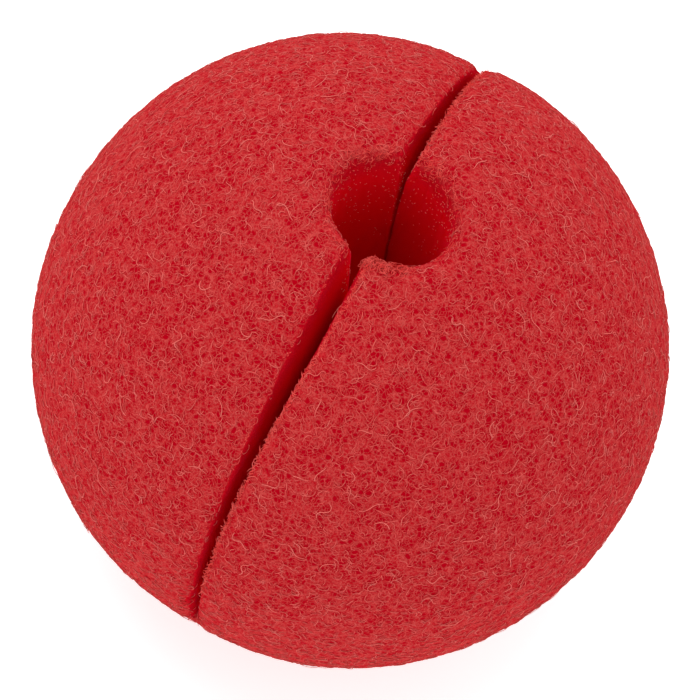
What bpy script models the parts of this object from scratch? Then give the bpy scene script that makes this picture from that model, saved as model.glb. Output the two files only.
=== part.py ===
"""A foam clown nose: one soft ball with a deep slit and a round pocket for the wearer's nose.

Metres, +Z up. The ball rests on the table at the origin with its pocket facing up. The slit runs
along Y, across the pocket, and its two lips face each other along X.
"""

from math import asin, atan2, cos, degrees, exp, hypot, pi, sin, sqrt

import bmesh
import bpy
from mathutils import Vector

MM = 0.001

# Ball
BALL_RADIUS = 25.0 * MM
FOOT_RADIUS = 3.0 * MM
BALL_CENTRE_Z = sqrt(BALL_RADIUS**2 - FOOT_RADIUS**2)

# Slit, in heights and places from the ball's centre
LEFT_LIP_X = -1.1 * MM
SLIT_FLOOR_Z = -11.0 * MM
SLIT_FLOOR_FADE = 9.0 * MM
GAP_AT_FLOOR = 0.42 * MM
GAP_AT_ENDS = 0.65 * MM
GAP_BOW = 0.98 * MM
GAP_BOW_ANGLE = 17.0  # degrees from straight up, towards -Y
GAP_BOW_SPAN = 28.0  # degrees
GAP_CLOSING = 5  # power of the distance from the ball's centre, so the lips gape and the depth is close

# How the halves have relaxed away from the cut
HALF_SWELL = 0.18 * MM
LIP_SINK = 0.7 * MM
LIP_SINK_REACH = 7.0 * MM
LIP_ROUND = 0.3 * MM
LIP_ROUND_REACH = 1.0 * MM
RIGHT_END_SINK = 0.5  # share of the sink that is left where the right lip ends at +Y
RIGHT_END_START = 8.0 * MM
RIGHT_END_STOP = 21.0 * MM

# Pocket
POCKET_X = 0.1 * MM
POCKET_Y = 0.4 * MM
POCKET_RADIUS = 4.2 * MM
POCKET_STRETCH = 1.09  # wider across the slit than along it
POCKET_DEPTH = 24.0 * MM
POCKET_FLOOR_ROUND = 1.5 * MM
RIM_ROUND = 1.2 * MM
RIM_SHIFT_X = 0.5 * MM  # softens the right rim into a funnel

# Facets
AROUND = 60
RINGS_A_SIDE = 15
RING_CROWDING = 1.35
POCKET_SIDES = 28
ARC_STEPS = 3
BLADE_STEP = 3.5 * MM
OVERSHOOT = 3.0 * MM

FOAM_RED = (0.51, 0.023, 0.027, 1.0)


def smooth_step(value, low, high):
    """0 below low, 1 above high, and a smooth rise between."""
    t = min(max((value - low) / (high - low), 0.0), 1.0)
    return t * t * (3 - 2 * t)


def mouth_gap(y, z):
    """The slit's width at the ball's surface. It bows open a little in front of the pocket."""
    angle = degrees(atan2(-y, z))
    bow = exp(-(((angle - GAP_BOW_ANGLE) / GAP_BOW_SPAN) ** 2))
    return GAP_AT_ENDS + GAP_BOW * bow


def slit_gap(y, z):
    """The slit's width at any depth, narrowing inwards and towards its straight floor."""
    outward = min(hypot(y, z) / BALL_RADIUS, 1.0)
    opening = outward**GAP_CLOSING * smooth_step(z, SLIT_FLOOR_Z, SLIT_FLOOR_Z + SLIT_FLOOR_FADE)
    return GAP_AT_FLOOR + (mouth_gap(y, z) - GAP_AT_FLOOR) * opening


def slit_face(side, y, z):
    """X of the slit's left face (side -1), which is flat, or of its right face (side +1)."""
    return LEFT_LIP_X + slit_gap(y, z) * (side + 1) / 2


def relaxed_radius(side, lip_distance, y, z):
    """The ball's radius at this distance from its side's lip: full far away, sunk at the lip."""
    beside_slit = smooth_step(z, SLIT_FLOOR_Z - 4 * MM, SLIT_FLOOR_Z + 5 * MM)
    sink = LIP_SINK * exp(-lip_distance / LIP_SINK_REACH)
    edge = LIP_ROUND * max(1 - lip_distance / LIP_ROUND_REACH, 0.0) ** 2
    near_end = smooth_step(y, RIGHT_END_START, RIGHT_END_STOP)
    kept = 1 - (1 - RIGHT_END_SINK) * near_end if side > 0 else 1.0
    return BALL_RADIUS + HALF_SWELL - beside_slit * (sink + edge) * kept


def new_object(name, fill_mesh, collection):
    """An object whose mesh is made by fill_mesh(bm)."""
    bm = bmesh.new()
    fill_mesh(bm)
    mesh = bpy.data.meshes.new(name)
    bm.to_mesh(mesh)
    bm.free()
    made = bpy.data.objects.new(name, mesh)
    collection.objects.link(made)
    return made


def ball_point(turn, tilt, side):
    """A point of the skin, turned about X and tilted from the slit's plane towards one side."""
    y, z = BALL_RADIUS * cos(turn), BALL_RADIUS * sin(turn)
    start = slit_face(side, y, z)
    lip_distance = (BALL_RADIUS - side * start) * sin(tilt)
    scale = relaxed_radius(side, lip_distance, y, z) / BALL_RADIUS
    x = start + side * lip_distance
    across = sqrt(max(1 - (x / BALL_RADIUS) ** 2, 0.0))
    return Vector((x, y * across, z * across)) * scale + Vector((0, 0, BALL_CENTRE_Z))


def ball_mesh(bm):
    """A globe whose poles are the ball's two sides and whose rings crowd towards the slit."""
    bmesh.ops.create_uvsphere(bm, u_segments=AROUND, v_segments=2 * RINGS_A_SIDE, radius=1.0)
    for vertex in bm.verts:
        turn = atan2(vertex.co.y, vertex.co.x)
        share = asin(max(-1.0, min(vertex.co.z, 1.0))) / (pi / 2)
        tilt = pi / 2 * abs(share) ** RING_CROWDING
        side = 0 if tilt < 1e-6 else 1 if share > 0 else -1
        vertex.co = ball_point(turn, tilt, side)
    flatten_foot(bm)
    bmesh.ops.recalc_face_normals(bm, faces=bm.faces)


def flatten_foot(bm):
    """Cuts the ball off at the table, where its weight presses a small flat."""
    everything = bm.verts[:] + bm.edges[:] + bm.faces[:]
    cut_off = bmesh.ops.bisect_plane(
        bm, geom=everything, plane_co=(0, 0, 0), plane_no=(0, 0, -1), clear_outer=True
    )
    rim = [item for item in cut_off["geom_cut"] if isinstance(item, bmesh.types.BMEdge)]
    bmesh.ops.contextual_create(bm, geom=rim)


def split_along(bm, axis, pieces):
    """Cuts every edge that lies along one axis into equal pieces, all the way round."""
    edges = [e for e in bm.edges if abs((e.verts[0].co - e.verts[1].co)[axis]) > 1e-6]
    bmesh.ops.subdivide_edges(bm, edges=edges, cuts=pieces - 1, use_grid_fill=True)


def blade_mesh(bm):
    """A block that fills the slit: its two big faces follow the slit's left and right faces."""
    length = 2 * (BALL_RADIUS + OVERSHOOT)
    height = BALL_RADIUS + OVERSHOOT - SLIT_FLOOR_Z
    bmesh.ops.create_cube(bm, size=1.0)
    split_along(bm, 1, round(length / BLADE_STEP))
    split_along(bm, 2, round(height / BLADE_STEP))
    for vertex in bm.verts:
        side = 1 if vertex.co.x > 0 else -1
        y = vertex.co.y * length
        z = SLIT_FLOOR_Z + (vertex.co.z + 0.5) * height
        vertex.co = Vector((slit_face(side, y, z), y, z))


def arc(centre_r, centre_z, radius, start, end):
    """Points of an arc in the turned profile, angles in radians."""
    for step in range(ARC_STEPS + 1):
        angle = start + (end - start) * step / ARC_STEPS
        yield centre_r + radius * cos(angle), centre_z + radius * sin(angle)


def pocket_profile():
    """(radius, height) down the pocket: a lid above the ball, the round rim, the wall, the floor."""
    rim_r = POCKET_RADIUS + RIM_ROUND
    rim_top = sqrt(BALL_RADIUS**2 - rim_r**2) - LIP_SINK / 2
    slope = asin(rim_r / BALL_RADIUS)
    lid = BALL_RADIUS + OVERSHOOT
    yield 0.0, lid
    yield rim_r + OVERSHOOT, lid
    yield rim_r + OVERSHOOT, BALL_RADIUS
    yield from arc(rim_r, rim_top - RIM_ROUND, RIM_ROUND, pi / 2 - slope, pi)
    floor = BALL_RADIUS - POCKET_DEPTH
    corner_r = POCKET_RADIUS - POCKET_FLOOR_ROUND
    yield from arc(corner_r, floor + POCKET_FLOOR_ROUND, POCKET_FLOOR_ROUND, 0, -pi / 2)
    yield 0.0, floor


def pocket_mesh(bm):
    """The pocket's half profile, as a chain of edges for the Screw modifier."""
    chain = [bm.verts.new((radius, 0, height)) for radius, height in pocket_profile()]
    for upper, lower in zip(chain, chain[1:]):
        bm.edges.new((upper, lower))


def turned_mesh(profile):
    """The mesh of a profile turned once round Z."""
    screw = profile.modifiers.new("Turn", "SCREW")
    screw.steps = POCKET_SIDES
    screw.render_steps = POCKET_SIDES
    screw.use_merge_vertices = True
    screw.merge_threshold = 0.01 * MM
    bpy.context.view_layer.update()
    graph = bpy.context.evaluated_depsgraph_get()
    return bpy.data.meshes.new_from_object(profile.evaluated_get(graph))


def pocket_cutter(collection):
    """The turned pocket, stretched across the slit, with its rim moved towards +X."""
    profile = new_object("pocket_profile", pocket_mesh, collection)
    mesh = turned_mesh(profile)
    bpy.data.objects.remove(profile)
    for vertex in mesh.vertices:
        near_rim = smooth_step(vertex.co.z, BALL_RADIUS - 3 * RIM_ROUND, BALL_RADIUS)
        vertex.co.x = vertex.co.x * POCKET_STRETCH + RIM_SHIFT_X * near_rim
    cutter = bpy.data.objects.new("pocket_cutter", mesh)
    cutter.location = (POCKET_X, POCKET_Y, BALL_CENTRE_Z)
    collection.objects.link(cutter)
    return cutter


def slit_cutter(collection):
    cutter = new_object("slit_cutter", blade_mesh, collection)
    cutter.location = (0, 0, BALL_CENTRE_Z)
    return cutter


def cut(body, cutter):
    """Takes the cutter out of the body and leaves the cutter as a hidden guide."""
    boolean = body.modifiers.new("Cut_" + cutter.name, "BOOLEAN")
    boolean.operation = "DIFFERENCE"
    boolean.solver = "EXACT"
    boolean.object = cutter
    cutter.hide_render = True
    cutter.display_type = "WIRE"


def foam_material():
    """Matt red foam."""
    material = bpy.data.materials.new("red_foam")
    material.use_nodes = True
    shader = material.node_tree.nodes["Principled BSDF"]
    shader.inputs["Base Color"].default_value = FOAM_RED
    shader.inputs["Roughness"].default_value = 0.9
    shader.inputs["Metallic"].default_value = 0.0
    material.diffuse_color = FOAM_RED
    return material


def new_collection(name):
    made = bpy.data.collections.new(name)
    bpy.context.scene.collection.children.link(made)
    return made


def main():
    for old in list(bpy.data.objects):
        bpy.data.objects.remove(old)
    parts = new_collection("clown_nose")
    cutters = new_collection("cutters")

    ball = new_object("foam_ball", ball_mesh, parts)
    ball.data.materials.append(foam_material())
    ball.data.shade_smooth()
    cut(ball, slit_cutter(cutters))
    cut(ball, pocket_cutter(cutters))


main()
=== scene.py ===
"""A foam clown nose on a pale floor: its open-cell skin, its smooth cut faces and its loose strands.

Metres, +Z up. The ball rests on the floor at the origin with its pocket facing up. The slit runs
along Y, across the pocket, and its two lips face each other along X.
"""

from math import cos, pi, radians, sin

import bmesh
import bpy
import numpy as np
from mathutils import Matrix, Vector, noise
from mathutils.bvhtree import BVHTree


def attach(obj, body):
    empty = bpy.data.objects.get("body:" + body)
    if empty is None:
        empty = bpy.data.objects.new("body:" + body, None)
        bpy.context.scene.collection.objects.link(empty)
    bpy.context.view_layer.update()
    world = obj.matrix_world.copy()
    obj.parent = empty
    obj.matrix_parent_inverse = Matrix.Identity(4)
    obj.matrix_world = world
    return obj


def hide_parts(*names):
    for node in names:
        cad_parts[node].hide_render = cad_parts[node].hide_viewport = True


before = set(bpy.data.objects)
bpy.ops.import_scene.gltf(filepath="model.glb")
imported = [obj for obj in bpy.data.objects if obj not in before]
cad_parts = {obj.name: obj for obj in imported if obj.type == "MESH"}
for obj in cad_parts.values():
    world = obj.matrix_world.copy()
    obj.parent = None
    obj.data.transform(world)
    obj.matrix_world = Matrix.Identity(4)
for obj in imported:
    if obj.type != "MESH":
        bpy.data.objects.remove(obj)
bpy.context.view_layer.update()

MM = 0.001


def mm(low, high):
    """A range given in millimetres."""
    return low * MM, high * MM


# The ball, its slit and its pocket
BALL_RADIUS = 25.0 * MM
BALL_CENTRE = np.array((0.0, 0.0, 24.82 * MM))
LEFT_LIP_X = -1.1 * MM
GAP_AT_ENDS = 0.65 * MM
GAP_BOW = 0.98 * MM
GAP_BOW_ANGLE = 17.0  # degrees from straight up, towards -Y
GAP_BOW_SPAN = 28.0  # degrees
POCKET_CENTRE = np.array((0.1 * MM, 0.4 * MM))
POCKET_RADIUS = 4.6 * MM
POCKET_REACH = 5.2 * MM  # from the pocket's middle to the outside of its rim

# The skin's mesh
MERGE_DISTANCE = 0.001 * MM
FINE_EDGE = 0.54 * MM
COARSE_EDGE = 3.0 * MM
FINE_DEPTH = 4.0 * MM  # how far below the ball's surface the mesh is fine
SPLIT_ROUNDS = 5
SOFTENING_ROUNDS = 6
SOFTENING_DEPTH = 2.0 * MM
FOOT_HEIGHT = 0.1 * MM  # nothing below this is softened
LUMP_SIZE = 2.2 * MM
LUMP_HEIGHT = 0.06 * MM
GRAIN_SIZE = 0.5 * MM
GRAIN_HEIGHT = 0.02 * MM

# How the slit's walls lean and come nearer to each other with depth
SLIT_REACH = 4.0 * MM  # how far beside the slit the foam moves with its walls
RIGHT_SIDE_START = 0.1 * MM  # from the left lip
SLIT_LEAN = 0.055  # sideways for each length of depth
SLIT_LEAN_FADE = 0.6  # more lean in front and less behind, by this share
SLIT_LEAN_SPAN = 9.0 * MM
SLIT_LEAN_LIMIT = 0.7 * MM
SLIT_CLOSER = 0.2 * MM
SLIT_CLOSER_DEPTH = 4.0 * MM

# How the lips and the pocket's left rim open at the surface
LEFT_LIP_OPENING = 0.35 * MM
RIGHT_LIP_OPENING = 0.15 * MM
LEFT_RIM_OPENING = 0.5 * MM
LEFT_RIM_REACH = 9.0 * MM  # from the pocket's middle
OPENING_DEPTH = 3.0 * MM  # the deeper, the less it opens
BACK_START = 8.0 * MM  # along Y, from where it opens less and less
BACK_SPAN = 9.0 * MM
BACK_LOSS = 0.7
LOW_SPAN = 8.0 * MM  # above the ball's middle, below which it opens less
LEAST_WHEN_LOW = 0.3

# The strands
STRAND_SIDES = 3
STRAND_DIVE = 0.05 * MM  # how deep a strand's ends go into the foam
SKIN_DEPTH = 1.3 * MM  # how far below the ball's surface the skin's strands still grow
REACH_TO_FOAM = 0.18 * MM
FLOOR_CLEARANCE = 0.05 * MM
GOLDEN_ANGLE = pi * (3 - 5**0.5)
PLACE_SCATTER = 0.7  # share of the distance between strands
CAST_FROM = 1.2  # of the ball's radius, where the rays that look for the skin start
ARCH_POWER = 0.6  # below 1, a strand rises fast at its ends
ANY_ANGLE = (0, 2 * pi)
RING_SPAN = (radians(100), radians(280))
RING_STRETCH = (0.75, 1.3)
WAVE_BENDS = (1.5, 4.0)  # radians for each millimetre
WAVE_TURN = (-1.5, 1.5)  # radians
WAVE_SWAY = (0.4, 1.1)  # radians
WAVE_START = (0, 6)  # radians
OUTER_SHEEN = 0.18
INNER_SHEEN = 0.0
SHEEN_TINT = (1.0, 0.75, 0.72, 1.0)

# The fringes along the lips, and the frayed corner between the slit and the pocket
FRINGE_ANGLES = (-88, 88)  # degrees from straight up, towards -Y
FRINGE_BAND = 0.25  # millimetres from the lip
FRINGE_CAST = 7 * MM
FRINGE_LIFT = (-0.1, 0.9)  # these four are for each length over the edge
FRINGE_SLANT = (-1.5, 1.5)
FRINGE_BEND_ALONG = (-2.0, 2.0)
FRINGE_BEND_OUT = (-1.4, 0.3)
CORNER_X = mm(0.3, 3.2)
CORNER_Y = mm(-4.8, -3.4)
CORNER_DEPTH = 1.5 * MM

# Where strands grow inside the pocket, in depths below the ball's surface
RIM_START = 0.4 * MM
RIM_END = 2.8 * MM
RIM_THINNING = 2.4 * MM
SPECKS_START = 1.2 * MM
SPECKS_END = 15 * MM
SPECKS_THINNING = 12 * MM

# The cells: pits painted dark as shade, and a light web between them, both wide and small
BEND_SIZE = 0.5 * MM
BEND_AMOUNT = 0.4 * MM
WIDE_PIT_SIZE = 1.3 * MM
SMALL_PIT_SIZE = 0.65 * MM
WIDE_WEB_SIZE = 0.65 * MM
SMALL_WEB_SIZE = 0.36 * MM
SMALL_WEB_SHARE = 0.8
RELIEF_HEIGHT = 0.03 * MM
RELIEF_STRENGTH = 0.8

# The foam's texture
RAGGED_SIZE = 0.5 * MM
RAGGED_SHIFT = mm(-0.4, 0.4)
SPECKLE_SIZE = 0.15 * MM
PATCH_SIZE = 1.5 * MM
STRAND_DRIFT_SIZE = 0.8 * MM
WALL_FACING = (0.6, 0.85)  # how squarely a slit wall faces along X
WALL_BAND = mm(3.2, 2.4)  # how far from X = 0 a slit wall can be

# How the looks change from one distance from the ball's middle to another
OUTSIDE_SHELL = (BALL_RADIUS - 1.8 * MM, BALL_RADIUS - 0.4 * MM)
# the shell over which the cut faces' painted glow comes in with depth
CUT_GLOW_SHELL = (BALL_RADIUS - 0.5 * MM, BALL_RADIUS - 4.5 * MM)
SCATTER_SHELL = (BALL_RADIUS - 2.5 * MM, BALL_RADIUS - 0.8 * MM)
SCATTER_SHARE = (1.0, 0.2)
REACH_SHELL = (BALL_RADIUS - 4 * MM, BALL_RADIUS)
SCATTER_REACH = mm(6, 1.5)
SCATTER_BY_COLOUR = (1.0, 0.06, 0.08)  # red light goes furthest in red foam

# Reds, from the deep cuts and cells to the bright loose strands, with painted glow and shade among
# them
# painted glow: the deep cut faces' bright red stands in for light shining through the foam into the
# pocket and slit
CUT_GLOW_RED = (0.84, 0.002, 0.013)
CUT_EDGE_RED = (0.50, 0.003, 0.013)
WORN_CUT_RED = (0.82, 0.008, 0.022)
# painted shade: the dark red that the cells' pits are painted with
PIT_SHADE_RED = (0.43, 0.001, 0.009)
SHADE_RED = (0.47, 0.006, 0.013)
FOAM_RED = (0.54, 0.034, 0.036)
WEB_RED = (0.61, 0.068, 0.062)
CELL_RED = (0.64, 0.040, 0.041)
STRAND_RED = (0.69, 0.066, 0.060)
PALE_RED = (0.80, 0.135, 0.116)
BRIGHT_RED = (0.86, 0.200, 0.168)
# painted glow: strands in the pocket's rim and shade are painted a brighter red than those outside
RIM_GLOW_RED = (0.80, 0.058, 0.053)
PALE_RIM_GLOW_RED = (0.86, 0.110, 0.096)

# The floor, the light and the camera
FLOOR_HALF = 1.5
FLOOR_PATCH_SIZE = 0.2
FLOOR_TONES = ((0.86, 0.86, 0.86), (0.90, 0.90, 0.90))
FLOOR_GLOW = 0.56
ROOM_LIGHT = 0.78
LAMP_DISTANCE = 0.6
LAMP_SIZE = 0.5
LAMP_POWER = 1.6
LAMP_LEAN = 0.8  # towards the top of the picture
CAMERA_AZIMUTH = 13.0
CAMERA_ELEVATION = 63.7
CAMERA_ROLL = 16.0
CAMERA_DISTANCE = 0.30
CAMERA_LENS = 195.0

random = np.random.default_rng(11)


# Small helpers


def new_object(name, data):
    made = bpy.data.objects.new(name, data)
    bpy.context.scene.collection.objects.link(made)
    return made


def unit(vectors):
    return vectors / np.linalg.norm(vectors, axis=-1, keepdims=True)


def spread(limits, count):
    """Evenly random values between two limits, as a column."""
    return random.uniform(*limits, (count, 1))


def between(values, limits):
    return (values > limits[0]) & (values < limits[1])


def vertex_values(mesh, name):
    values = np.empty((len(mesh.vertices), 3), np.float32)
    mesh.vertices.foreach_get(name, values.ravel())
    return values


def depth_below_ball(points):
    return BALL_RADIUS - np.linalg.norm(points - BALL_CENTRE, axis=-1)


# The skin


def split_long_edges(bm):
    """Splits edges until the mesh is fine near the ball's surface, and not too coarse below."""
    for _ in range(SPLIT_ROUNDS):
        ends = np.array([(*e.verts[0].co, *e.verts[1].co) for e in bm.edges]).reshape(-1, 2, 3)
        lengths = np.linalg.norm(ends[:, 1] - ends[:, 0], axis=1)
        near = depth_below_ball(ends).min(axis=1) < FINE_DEPTH
        too_long = lengths > np.where(near, FINE_EDGE, COARSE_EDGE)
        edges = [edge for edge, chosen in zip(bm.edges, too_long) if chosen]
        bmesh.ops.subdivide_edges(bm, edges=edges, cuts=1)
        bmesh.ops.triangulate(bm, faces=[face for face in bm.faces if len(face.verts) > 3])


def soften(bm):
    """Rounds off the facets outside and the edges of the lips, but leaves the foot flat."""
    places = np.array([vertex.co for vertex in bm.verts])
    outside = (depth_below_ball(places) < SOFTENING_DEPTH) & (places[:, 2] > FOOT_HEIGHT)
    chosen = [vertex for vertex, here in zip(bm.verts, outside) if here]
    for _ in range(SOFTENING_ROUNDS):
        bmesh.ops.smooth_vert(
            bm, verts=chosen, factor=0.5, use_axis_x=True, use_axis_y=True, use_axis_z=True
        )


def opening_share(places, depth):
    """How much the slit opens there: most at the surface in front, less behind and low down."""
    behind = np.clip((places[:, 1] - BACK_START) / BACK_SPAN, 0, 1)
    low = np.clip((places[:, 2] - BALL_CENTRE[2]) / LOW_SPAN, LEAST_WHEN_LOW, 1)
    return np.exp(-depth / OPENING_DEPTH) * ((1 - BACK_LOSS * behind) * low)


def wall_shift(places, depth, opening):
    """How far the foam beside the slit moves along X, so that its walls lean and its lips part."""
    from_left = places[:, 0] - LEFT_LIP_X
    beside = np.clip((SLIT_REACH - np.abs(from_left)) / SLIT_REACH, 0, 1)
    on_right = from_left > RIGHT_SIDE_START
    front = 1 - SLIT_LEAN_FADE * np.clip(places[:, 1] / SLIT_LEAN_SPAN, -1, 1)
    lean = np.minimum(SLIT_LEAN * front * depth, SLIT_LEAN_LIMIT)
    nearer = SLIT_CLOSER * np.clip(depth / SLIT_CLOSER_DEPTH, 0, 1) * on_right
    parted = np.where(on_right, RIGHT_LIP_OPENING, -LEFT_LIP_OPENING) * opening
    return beside * (lean - nearer + parted)


def rim_shift(places, opening):
    """How far the pocket's left rim moves away from the pocket."""
    from_axis = np.linalg.norm(places[:, :2] - POCKET_CENTRE, axis=1)
    near_rim = np.clip((LEFT_RIM_REACH - from_axis) / (LEFT_RIM_REACH - POCKET_RADIUS), 0, 1)
    leftwards = np.clip(-places[:, 0] / POCKET_RADIUS, 0, 1) * (places[:, 2] > BALL_CENTRE[2])
    return LEFT_RIM_OPENING * near_rim * leftwards * opening


def shape_slit(mesh):
    """Gives the slit's walls their lean, and opens its lips and the pocket's left rim."""
    places = vertex_values(mesh, "co")
    depth = np.clip(depth_below_ball(places), 0, None)
    opening = opening_share(places, depth)
    places[:, 0] += wall_shift(places, depth, opening) - rim_shift(places, opening)
    mesh.vertices.foreach_set("co", places.ravel())
    mesh.update()


def roughen(mesh):
    """Moves each vertex a little along its normal, by lumps and grain."""
    places = vertex_values(mesh, "co")
    heights = [
        noise.noise(Vector(place) / LUMP_SIZE) * LUMP_HEIGHT
        + noise.noise(Vector(place) / GRAIN_SIZE) * GRAIN_HEIGHT
        for place in places
    ]
    places += vertex_values(mesh, "normal") * np.array(heights)[:, None]
    places[:, 2] = np.maximum(places[:, 2], 0.0)
    mesh.vertices.foreach_set("co", places.ravel())
    mesh.update()


def skin_piece():
    """The foam body as a fine mesh with soft lumps and the grain of its cells."""
    bm = bmesh.new()
    bm.from_mesh(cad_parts["foam_ball"].data)
    bmesh.ops.remove_doubles(bm, verts=bm.verts, dist=MERGE_DISTANCE)
    split_long_edges(bm)
    soften(bm)
    mesh = bpy.data.meshes.new("foam_skin")
    bm.to_mesh(mesh)
    bm.free()
    shape_slit(mesh)
    roughen(mesh)
    mesh.shade_smooth()
    mesh.materials.append(skin_material())
    skin = new_object("foam_skin", mesh)
    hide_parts("foam_ball")
    return skin


# Where strands grow


def over_the_ball(tree, count):
    """Points spread evenly over the ball's outside, with a little scatter, and the skin's normals."""
    step = np.arange(count) + 0.5
    height = 1 - 2 * step / count
    turn = GOLDEN_ANGLE * step
    flat = np.sqrt(1 - height**2)
    even = np.stack((flat * np.cos(turn), flat * np.sin(turn), height), axis=1)
    scatter = PLACE_SCATTER * (pi / count) ** 0.5
    directions = unit(even + random.normal(0, scatter, even.shape))
    starts = BALL_CENTRE + directions * CAST_FROM * BALL_RADIUS
    hits = [tree.ray_cast(Vector(s), Vector(-d)) for s, d in zip(starts, directions)]
    hits = [hit for hit in hits if hit[0] is not None]
    points = np.array([hit[0] for hit in hits])
    normals = np.array([hit[1] for hit in hits])
    outside = depth_below_ball(points) < SKIN_DEPTH
    return points[outside], normals[outside]


def over_the_skin(skin, count, wanted):
    """Random points of the skin, and its normals. wanted gives each face's share from its middle."""
    corners = np.empty(3 * len(skin.data.polygons), np.int32)
    skin.data.loops.foreach_get("vertex_index", corners)
    triangles = vertex_values(skin.data, "co").astype(float)[corners.reshape(-1, 3)]
    start, first, second = triangles[:, 0], triangles[:, 1], triangles[:, 2]
    normals = np.cross(first - start, second - start)
    areas = np.linalg.norm(normals, axis=1)
    shares = areas * wanted(triangles.mean(axis=1))
    chosen = random.choice(len(triangles), count, p=shares / shares.sum())
    weights = random.dirichlet((1, 1, 1), count)[..., None]
    return (triangles[chosen] * weights).sum(axis=1), unit(normals[chosen])


def in_pocket(middles):
    from_axis = np.linalg.norm(middles[:, :2] - POCKET_CENTRE, axis=1)
    return (from_axis < POCKET_REACH) & (middles[:, 2] > BALL_CENTRE[2])


def rim_share(middles):
    """Just inside the pocket, thinning out with depth."""
    depth = depth_below_ball(middles)
    thinning = np.clip((RIM_END - depth) / RIM_THINNING, 0, 1) ** 2
    return thinning * (depth > RIM_START) * in_pocket(middles)


def pocket_share(middles):
    """The pocket's walls below its rim."""
    depth = depth_below_ball(middles)
    thinning = np.clip((SPECKS_END - depth) / SPECKS_THINNING, 0, 1)
    return in_pocket(middles) * (depth > SPECKS_START) * thinning


def corner_share(middles):
    """The front edge of the pocket, from the slit's right lip towards +X."""
    in_box = between(middles[:, 0], CORNER_X) & between(middles[:, 1], CORNER_Y)
    return in_box & (middles[:, 2] > BALL_CENTRE[2]) & (depth_below_ball(middles) < CORNER_DEPTH)


# The strands' paths


def tangents(normals):
    """Two directions in the skin's plane at each normal."""
    helper = np.where(np.abs(normals[:, :1]) > 0.7, (0.0, 1.0, 0.0), (1.0, 0.0, 0.0))
    first = unit(np.cross(normals, helper))
    return first, np.cross(normals, first)


def laid(points, normals, across, along, height):
    """Paths in space, from their places in the skin's plane and their heights above the skin."""
    first, second = tangents(normals)
    drop = (across**2 + along**2) / (2 * BALL_RADIUS)
    return (
        points[:, None]
        + first[:, None] * across[..., None]
        + second[:, None] * along[..., None]
        + normals[:, None] * (height - drop)[..., None]
    )


def arched(count, steps, height):
    """Heights along strands that rise in the middle and dive into the foam at both ends."""
    rise = np.sin(pi * np.linspace(0, 1, steps)) ** ARCH_POWER
    return -STRAND_DIVE + (spread(height, count) + STRAND_DIVE) * rise


def ring_paths(points, normals, steps, size, height):
    """Part rings round the foam's cells."""
    count = len(points)
    radius = spread(size, count)
    stretch = spread(RING_STRETCH, count)
    span = spread(RING_SPAN, count)
    angle = spread(ANY_ANGLE, count) + span * np.linspace(0, 1, steps)
    across = radius * np.cos(angle) * stretch
    along = radius * np.sin(angle) / stretch
    return laid(points, normals, across, along, arched(count, steps, height))


def wave_paths(points, normals, steps, size, height):
    """Wandering strands that bend one way and then the other."""
    count = len(points)
    length = spread(size, count)
    share = np.linspace(0, 1, steps - 1)
    bends = spread(WAVE_BENDS, count) * (length / MM) * share
    heading = (
        spread(ANY_ANGLE, count)
        + spread(WAVE_TURN, count) * share
        + spread(WAVE_SWAY, count) * np.sin(bends + spread(WAVE_START, count))
    )
    stride = length / (steps - 1)
    start = ((0, 0), (1, 0))
    across = np.pad(np.cumsum(np.cos(heading) * stride, axis=1), start)
    along = np.pad(np.cumsum(np.sin(heading) * stride, axis=1), start)
    return laid(points, normals, across, along, arched(count, steps, height))


def near_foam(tree, paths):
    """Marks the paths that clear the floor and whose ends and middle are near the foam."""
    kept = paths[:, :, 2].min(axis=1) > FLOOR_CLEARANCE
    steps = paths.shape[1]
    for index in np.nonzero(kept)[0]:
        for place in (0, steps // 2, steps - 1):
            hit = tree.find_nearest(Vector(paths[index, place]), REACH_TO_FOAM)
            kept[index] &= hit[0] is not None
    return kept


def lip_gap(angle):
    """The slit's width at this angle from straight up, in degrees towards -Y."""
    return GAP_AT_ENDS + GAP_BOW * np.exp(-(((angle - GAP_BOW_ANGLE) / GAP_BOW_SPAN) ** 2))


def curled_paths(roots, out, over, steps, size):
    """Strands that leave the foam sideways, over an edge, and curl along it and up or down."""
    count = len(roots)
    along = np.cross(over, out)
    lift = spread(FRINGE_LIFT, count)
    slant = spread(FRINGE_SLANT, count)
    first = unit(over + out * lift + along * slant)
    bend = spread(FRINGE_BEND_ALONG, count) * along + spread(FRINGE_BEND_OUT, count) * out
    share = np.linspace(0, 1, steps)[None, :, None]
    curve = first[:, None] * share + bend[:, None] * 0.5 * share**2
    return (roots - out * STRAND_DIVE)[:, None] + curve * spread(size, count)[..., None]


def fringe_paths(tree, side, count, steps, size):
    """Short strands that curl over the slit, out of its left lip (side -1) or right lip (side 1)."""
    angle = spread(FRINGE_ANGLES, count)[:, 0]
    turn = np.radians(angle)
    out = np.stack((np.zeros(count), -np.sin(turn), np.cos(turn)), axis=1)
    starts = BALL_CENTRE + out * CAST_FROM * BALL_RADIUS
    starts[:, 0] = LEFT_LIP_X + lip_gap(angle) * (side + 1) / 2
    starts[:, 0] += RIGHT_LIP_OPENING if side > 0 else -LEFT_LIP_OPENING
    starts[:, 0] += side * random.uniform(0, FRINGE_BAND, count) * MM
    hits = [tree.ray_cast(Vector(s), Vector(-o), FRINGE_CAST) for s, o in zip(starts, out)]
    found = np.array([hit[0] is not None for hit in hits])
    roots = np.array([hit[0] for hit in hits if hit[0] is not None])
    over = np.tile((-side, 0.0, 0.0), (len(roots), 1))
    return curled_paths(roots, out[found], over, steps, size), out[found]


def corner_paths(skin, count, steps, size, height):
    """Loose loops that fray out of the corner between the slit and the pocket."""
    roots, out = over_the_skin(skin, count, corner_share)
    return ring_paths(roots, out, steps, size, height), out


# The strands' meshes


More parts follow.
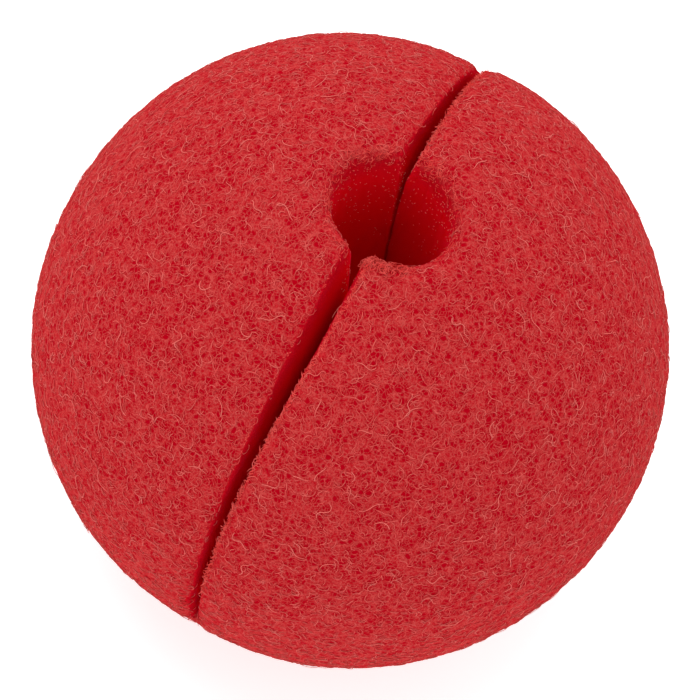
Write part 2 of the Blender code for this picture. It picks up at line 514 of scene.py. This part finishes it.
def tube_mesh(name, paths, normals, thickness):
    """One mesh of thin three-sided tubes along the paths, flat side out and pointed at both ends."""
    count, rings = len(paths), paths.shape[1] - 2
    ahead = unit(np.gradient(paths, axis=1))[:, 1:-1]
    side = unit(np.cross(ahead, normals[:, None] + 1e-3))
    up = np.cross(side, ahead)
    corner = np.arange(STRAND_SIDES) * 2 * pi / STRAND_SIDES - pi / 2
    spoke = (
        side[:, :, None] * np.cos(corner)[:, None] + up[:, :, None] * np.sin(corner)[:, None]
    )
    body = paths[:, 1:-1, None] + spoke * thickness[:, None, None]
    body = body.reshape(count, rings * STRAND_SIDES, 3)
    vertices = np.concatenate((paths[:, :1], body, paths[:, -1:]), axis=1)
    first_vertex = np.arange(count)[:, None, None] * vertices.shape[1]
    corners = (strand_faces(rings)[None] + first_vertex).ravel()
    mesh = bpy.data.meshes.new(name)
    mesh.vertices.add(vertices.shape[0] * vertices.shape[1])
    mesh.vertices.foreach_set("co", vertices.ravel())
    mesh.loops.add(len(corners))
    mesh.loops.foreach_set("vertex_index", corners)
    mesh.polygons.add(len(corners) // 3)
    mesh.polygons.foreach_set("loop_start", np.arange(0, len(corners), 3))
    mesh.update(calc_edges=True)
    mesh.validate()
    return mesh


def strand_faces(rings):
    """One strand's triangles: a fan at each tip and two for each side of each stretch."""
    triangles = []
    last = 1 + rings * STRAND_SIDES
    tail = last - STRAND_SIDES
    for near in range(STRAND_SIDES):
        far = (near + 1) % STRAND_SIDES
        triangles.append((0, 1 + far, 1 + near))
        triangles.append((last, tail + near, tail + far))
        for here in range(1, tail, STRAND_SIDES):
            there = here + STRAND_SIDES
            triangles.append((here + near, here + far, there + far))
            triangles.append((here + near, there + far, there + near))
    return np.array(triangles)


def strand_piece(name, paths, normals, thickness, tones, sheen):
    mesh = tube_mesh(name, paths, normals, spread(thickness, len(paths)))
    mesh.materials.append(strand_material(name, *tones, sheen))
    return new_object(name, mesh)


def ball_strands(tree, name, make_paths, count, steps, size, height, thickness, tones):
    """Strands of one kind, spread over the ball's outside."""
    points, normals = over_the_ball(tree, count)
    paths = make_paths(points, normals, steps, size, height)
    kept = near_foam(tree, paths)
    return strand_piece(name, paths[kept], normals[kept], thickness, tones, OUTER_SHEEN)


def cell_strands(tree):
    """Thick low strands round the cells."""
    return ball_strands(
        tree,
        "cell_strands",
        ring_paths,
        count=7600,
        steps=6,
        size=mm(0.24, 0.44),
        height=mm(0.0, 0.03),
        thickness=mm(0.034, 0.046),
        tones=(CELL_RED, STRAND_RED),
    )


def loop_strands(tree):
    """Finer loops on top of them."""
    return ball_strands(
        tree,
        "loop_strands",
        ring_paths,
        count=7000,
        steps=6,
        size=mm(0.26, 0.50),
        height=mm(0.01, 0.06),
        thickness=mm(0.024, 0.034),
        tones=(STRAND_RED, PALE_RED),
    )


def wave_strands(tree):
    """Strands that wander from cell to cell."""
    return ball_strands(
        tree,
        "wave_strands",
        wave_paths,
        count=5600,
        steps=6,
        size=mm(0.7, 1.3),
        height=mm(0.01, 0.07),
        thickness=mm(0.024, 0.032),
        tones=(STRAND_RED, PALE_RED),
    )


def long_strands(tree):
    """The few long bright strands that lie on top."""
    return ball_strands(
        tree,
        "long_strands",
        wave_paths,
        count=750,
        steps=12,
        size=mm(1.2, 2.6),
        height=mm(0.05, 0.14),
        thickness=mm(0.022, 0.031),
        tones=(PALE_RED, BRIGHT_RED),
    )


def rim_strands(tree, skin):
    """Strands that thin out down the pocket's edge, its frayed corner and the slit's fringes, in reds
    painted brighter as a glow for the shade they lie in.
    """
    points, normals = over_the_skin(skin, count=400, wanted=rim_share)
    paths = wave_paths(points, normals, steps=6, size=mm(0.3, 0.9), height=mm(0.0, 0.06))
    kept = near_foam(tree, paths)
    groups = [
        (paths[kept], normals[kept]),
        fringe_paths(tree, side=1, count=1700, steps=6, size=mm(0.18, 0.50)),
        fringe_paths(tree, side=-1, count=300, steps=6, size=mm(0.10, 0.25)),
        corner_paths(skin, count=110, steps=6, size=mm(0.20, 0.45), height=mm(0.05, 0.35)),
    ]
    paths = np.concatenate([group[0] for group in groups])
    normals = np.concatenate([group[1] for group in groups])
    # painted glow: brighter reds for strands that lie in shade
    tones = (RIM_GLOW_RED, PALE_RIM_GLOW_RED)
    return strand_piece("rim_strands", paths, normals, mm(0.024, 0.034), tones, INNER_SHEEN)


def pocket_specks(skin):
    """Short light strand ends on the pocket's smooth walls, painted brighter still as a glow for the
    pocket's shade.
    """
    points, normals = over_the_skin(skin, count=800, wanted=pocket_share)
    paths = wave_paths(points, normals, steps=5, size=mm(0.08, 0.26), height=mm(0.02, 0.06))
    # partly painted glow: the specks are light, and brighter still for the pocket's shade
    tones = (PALE_RIM_GLOW_RED, BRIGHT_RED)
    return strand_piece("pocket_specks", paths, normals, mm(0.022, 0.038), tones, INNER_SHEEN)


# Materials


class Nodes:
    """A material's node tree, with short calls that add and join nodes."""

    def __init__(self, name):
        self.material = bpy.data.materials.new(name)
        self.material.use_nodes = True
        self.tree = self.material.node_tree
        self.shader = self.tree.nodes["Principled BSDF"]

    def add(self, kind, **settings):
        node = self.tree.nodes.new("ShaderNode" + kind)
        for key, value in settings.items():
            setattr(node, key, value)
        return node

    def join(self, output, entry):
        self.tree.links.new(output, entry)

    def set(self, entry, value):
        self.shader.inputs[entry].default_value = value

    def drive(self, entry, output):
        """Joins an output to one of the shader's own sockets."""
        self.join(output, self.shader.inputs[entry])

    def place(self):
        return self.add("TexCoord").outputs["Object"]

    def along_x(self, vector):
        """The size of a vector's X, whichever way it points."""
        parts = self.add("SeparateXYZ")
        self.join(vector, parts.inputs[0])
        return self.math("ABSOLUTE", parts.outputs["X"], 0.0)

    def distance(self, place, centre):
        node = self.add("VectorMath", operation="DISTANCE")
        self.join(place, node.inputs[0])
        node.inputs[1].default_value = tuple(centre)
        return node.outputs["Value"]

    def math(self, operation, first, second):
        node = self.add("Math", operation=operation)
        for entry, value in zip(node.inputs, (first, second)):
            if isinstance(value, float):
                entry.default_value = value
            else:
                self.join(value, entry)
        return node.outputs[0]

    def noise(self, place, size, detail=2.0, output="Fac"):
        node = self.add("TexNoise")
        node.inputs["Scale"].default_value = 1 / size
        node.inputs["Detail"].default_value = detail
        self.join(place, node.inputs["Vector"])
        return node.outputs[output]

    def cells(self, place, size, feature):
        node = self.add("TexVoronoi", feature=feature)
        node.inputs["Scale"].default_value = 1 / size
        self.join(place, node.inputs["Vector"])
        return node.outputs["Distance"]

    def fade(self, value, low, high, to_low=0.0, to_high=1.0):
        """A smooth change from to_low to to_high as the value goes from low to high."""
        node = self.add("MapRange", interpolation_type="SMOOTHSTEP")
        names = ("From Min", "From Max", "To Min", "To Max")
        for name, limit in zip(names, (low, high, to_low, to_high)):
            node.inputs[name].default_value = limit
        self.join(value, node.inputs["Value"])
        return node.outputs[0]

    def blend(self, share, first, second):
        node = self.add("Mix", data_type="RGBA")
        self.join(share, node.inputs["Factor"])
        for entry, value in zip((node.inputs[6], node.inputs[7]), (first, second)):
            if isinstance(value, tuple):
                entry.default_value = (*value, 1.0)
            else:
                self.join(value, entry)
        return node.outputs[2]

    def warped(self, place, size, amount):
        """The place, moved about by noise so that straight lines turn wavy."""
        shift = self.add("VectorMath", operation="SUBTRACT")
        self.join(self.noise(place, size, output="Color"), shift.inputs[0])
        shift.inputs[1].default_value = (0.5, 0.5, 0.5)
        moved = self.add("VectorMath", operation="MULTIPLY_ADD")
        self.join(shift.outputs[0], moved.inputs[0])
        moved.inputs[1].default_value = (amount, amount, amount)
        self.join(place, moved.inputs[2])
        return moved.outputs[0]

    def bump(self, height, distance, strength):
        node = self.add("Bump")
        node.inputs["Strength"].default_value = strength
        node.inputs["Distance"].default_value = distance
        self.join(height, node.inputs["Height"])
        self.drive("Normal", node.outputs[0])


def slit_walls(nodes, place):
    """1 on the slit's two walls, which face along X near the ball's middle, and 0 elsewhere."""
    facing = nodes.along_x(nodes.add("TexCoord").outputs["Normal"])
    sideways = nodes.fade(facing, *WALL_FACING)
    middle = nodes.fade(nodes.along_x(place), *WALL_BAND)
    return nodes.math("MULTIPLY", sideways, middle)


def skin_outside(nodes, place, distance):
    """1 on the ball's outside and 0 on its cut faces, with a ragged edge between."""
    ragged = nodes.fade(nodes.noise(place, RAGGED_SIZE), 0.25, 0.75, *RAGGED_SHIFT)
    height = nodes.math("ADD", distance, ragged)
    outer = nodes.fade(height, *OUTSIDE_SHELL)
    off_the_walls = nodes.math("SUBTRACT", 1.0, slit_walls(nodes, place))
    return nodes.math("MULTIPLY", outer, off_the_walls)


def shaded_pits_and_web(nodes, place):
    """The foam's open cells, whose pits are painted dark as shade, and the walls between them, each
    in two sizes.
    """
    bent = nodes.warped(place, BEND_SIZE, BEND_AMOUNT)
    # the pits' mask paints their shade into the colour, and also sinks them in the relief
    wide_shaded_pits = nodes.fade(nodes.cells(bent, WIDE_PIT_SIZE, "F1"), 0.46, 0.34)
    small_shaded_pits = nodes.fade(nodes.cells(bent, SMALL_PIT_SIZE, "F1"), 0.46, 0.32)
    shaded_pits = nodes.math("MAXIMUM", wide_shaded_pits, small_shaded_pits)
    wide_web = nodes.fade(nodes.cells(bent, WIDE_WEB_SIZE, "DISTANCE_TO_EDGE"), 0.055, 0.01)
    small_web = nodes.fade(nodes.cells(bent, SMALL_WEB_SIZE, "DISTANCE_TO_EDGE"), 0.09, 0.02)
    faint_web = nodes.math("MULTIPLY", small_web, SMALL_WEB_SHARE)
    return shaded_pits, nodes.math("MAXIMUM", wide_web, faint_web)


def outside_colour(nodes, speckle, shaded_pits, web):
    """Red foam with pits painted dark as shade, and a lighter web that breaks off in places."""
    ground = nodes.blend(nodes.fade(speckle, 0.38, 0.62), SHADE_RED, FOAM_RED)
    # painted shade: the pits darken the ground
    cells = nodes.blend(shaded_pits, ground, PIT_SHADE_RED)
    broken_web = nodes.math("MULTIPLY", web, nodes.fade(speckle, 0.3, 0.55, 0.35, 1.0))
    return nodes.blend(broken_web, cells, WEB_RED)


def cut_colour_and_glow(nodes, speckle, distance):
    """The cut faces' deep red, which is darker near the ball's surface and painted brighter deeper
    down, as a painted glow of light through the foam.
    """
    # painted glow: deeper cut faces get the brighter red
    glow_depth = nodes.fade(distance, *CUT_GLOW_SHELL)
    glowing_cut = nodes.blend(glow_depth, CUT_EDGE_RED, CUT_GLOW_RED)
    return nodes.blend(nodes.fade(speckle, 0.4, 0.75, 0.0, 0.6), glowing_cut, WORN_CUT_RED)


def skin_material():
    """Deep red foam: a network of strands over pits painted dark as shade outside, smooth on the cut
    faces, which are painted brighter deeper down as a glow.
    """
    nodes = Nodes("foam_skin")
    place = nodes.place()
    distance = nodes.distance(place, BALL_CENTRE)
    outer = skin_outside(nodes, place, distance)
    shaded_pits, web = shaded_pits_and_web(nodes, place)
    speckle = nodes.noise(place, SPECKLE_SIZE, detail=1.0)
    cut = cut_colour_and_glow(nodes, speckle, distance)
    outside = outside_colour(nodes, speckle, shaded_pits, web)
    nodes.drive("Base Color", nodes.blend(outer, cut, outside))
    patches = nodes.noise(place, PATCH_SIZE)
    nodes.drive("Roughness", nodes.fade(patches, 0.3, 0.7, 0.82, 0.98))
    relief = nodes.math("MULTIPLY", nodes.math("SUBTRACT", web, shaded_pits), outer)
    nodes.bump(relief, RELIEF_HEIGHT, RELIEF_STRENGTH)
    nodes.set("Specular IOR Level", 0.0)
    nodes.drive("Subsurface Weight", nodes.fade(distance, *SCATTER_SHELL, *SCATTER_SHARE))
    nodes.drive("Subsurface Scale", nodes.fade(distance, *REACH_SHELL, *SCATTER_REACH))
    nodes.set("Subsurface Radius", SCATTER_BY_COLOUR)
    return nodes.material


def strand_material(name, dark, light, sheen):
    """A strand's red, which drifts between two tones along the tangle."""
    nodes = Nodes(name)
    drift = nodes.noise(nodes.place(), STRAND_DRIFT_SIZE, detail=3.0)
    nodes.drive("Base Color", nodes.blend(nodes.fade(drift, 0.35, 0.65), dark, light))
    nodes.drive("Roughness", nodes.fade(drift, 0.3, 0.7, 0.7, 0.95))
    nodes.set("Specular IOR Level", 0.0)
    nodes.set("Sheen Weight", sheen)
    nodes.set("Sheen Roughness", 0.5)
    nodes.set("Sheen Tint", SHEEN_TINT)
    return nodes.material


def floor_material():
    """A pale floor that glows a little, so that its shadows are faint."""
    nodes = Nodes("pale_floor")
    patches = nodes.noise(nodes.place(), FLOOR_PATCH_SIZE)
    nodes.drive("Base Color", nodes.blend(patches, *FLOOR_TONES))
    nodes.set("Roughness", 0.9)
    nodes.set("Emission Color", (1.0, 1.0, 1.0, 1.0))
    nodes.set("Emission Strength", FLOOR_GLOW)
    return nodes.material


# The floor, the light and the camera


def add_floor():
    bm = bmesh.new()
    bmesh.ops.create_grid(bm, x_segments=8, y_segments=8, size=FLOOR_HALF)
    mesh = bpy.data.meshes.new("floor")
    bm.to_mesh(mesh)
    bm.free()
    mesh.materials.append(floor_material())
    new_object("floor", mesh)


def camera_axes():
    """The camera's right, up and backward directions."""
    azimuth, elevation, roll = map(radians, (CAMERA_AZIMUTH, CAMERA_ELEVATION, CAMERA_ROLL))
    back = Vector((sin(azimuth) * cos(elevation), -cos(azimuth) * cos(elevation), sin(elevation)))
    level = Vector((cos(azimuth), sin(azimuth), 0))
    right = level * cos(roll) + back.cross(level) * sin(roll)
    return right, back.cross(right), back


def add_camera():
    axes = camera_axes()
    camera = bpy.data.cameras.new("camera")
    camera.lens = CAMERA_LENS
    camera.clip_start = 0.01
    camera.clip_end = 20.0
    made = new_object("camera", camera)
    place = Matrix(axes).transposed().to_4x4()
    place.translation = Vector(BALL_CENTRE) + axes[2] * CAMERA_DISTANCE
    made.matrix_world = place
    bpy.context.scene.camera = made


def add_light():
    """An even white room, and a soft lamp from the top of the picture."""
    world = bpy.data.worlds.new("studio")
    world.use_nodes = True
    background = world.node_tree.nodes["Background"]
    background.inputs["Color"].default_value = (1.0, 1.0, 1.0, 1.0)
    background.inputs["Strength"].default_value = ROOM_LIGHT
    bpy.context.scene.world = world
    _, up, back = camera_axes()
    lamp = bpy.data.lights.new("softbox", "AREA")
    lamp.shape = "DISK"
    lamp.size = LAMP_SIZE
    lamp.energy = LAMP_POWER
    made = new_object("softbox", lamp)
    away = (up * LAMP_LEAN + back).normalized()
    made.location = Vector(BALL_CENTRE) + away * LAMP_DISTANCE
    made.rotation_mode = "QUATERNION"
    made.rotation_quaternion = away.to_track_quat("Z", "Y")


def main():
    add_camera()
    add_floor()
    add_light()
    bpy.context.scene.view_settings.view_transform = "Standard"
    skin = skin_piece()
    tree = BVHTree.FromObject(skin, bpy.context.evaluated_depsgraph_get())
    pieces = [
        skin,
        cell_strands(tree),
        loop_strands(tree),
        wave_strands(tree),
        long_strands(tree),
        rim_strands(tree, skin),
        pocket_specks(skin),
    ]
    for piece in pieces:
        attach(piece, "root")


main()
bpy.context.view_layer.update()
